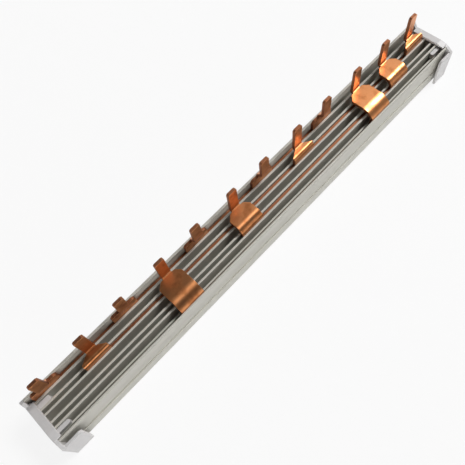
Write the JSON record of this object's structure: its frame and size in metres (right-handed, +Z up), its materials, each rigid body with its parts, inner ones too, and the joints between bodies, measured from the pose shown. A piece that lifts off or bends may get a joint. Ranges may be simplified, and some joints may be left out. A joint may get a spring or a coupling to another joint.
{
  "type": "comb busbar",
  "caption": "Comb busbar: flat copper combs with upright contact pins in a slotted insulating profile with end caps, joining the terminals of a row of circuit breakers.",
  "frame": {"origin": "Centre of the underside of the whole busbar: middle of its length and of its depth, at the bottom of the profile.", "axes": "X along the busbar, with the first pin at the -X end. Y from the front wall, which carries the caps' wings, to the higher back wall. Z up, the way the pins point."},
  "size_m": [0.2152, 0.021, 0.0301],
  "materials": {
    "pvc": "matte, warm light grey",
    "copper": "bare copper, satin",
    "cap_plastic": "satin, warm light grey"
  },
  "bodies": {
    "root": {"profile": "pvc", "comb_n": "copper", "comb_l1": "copper", "comb_l2": "copper", "comb_l3": "copper", "cap_left": "cap_plastic", "cap_right": "cap_plastic"}
  },
  "joints": []
}
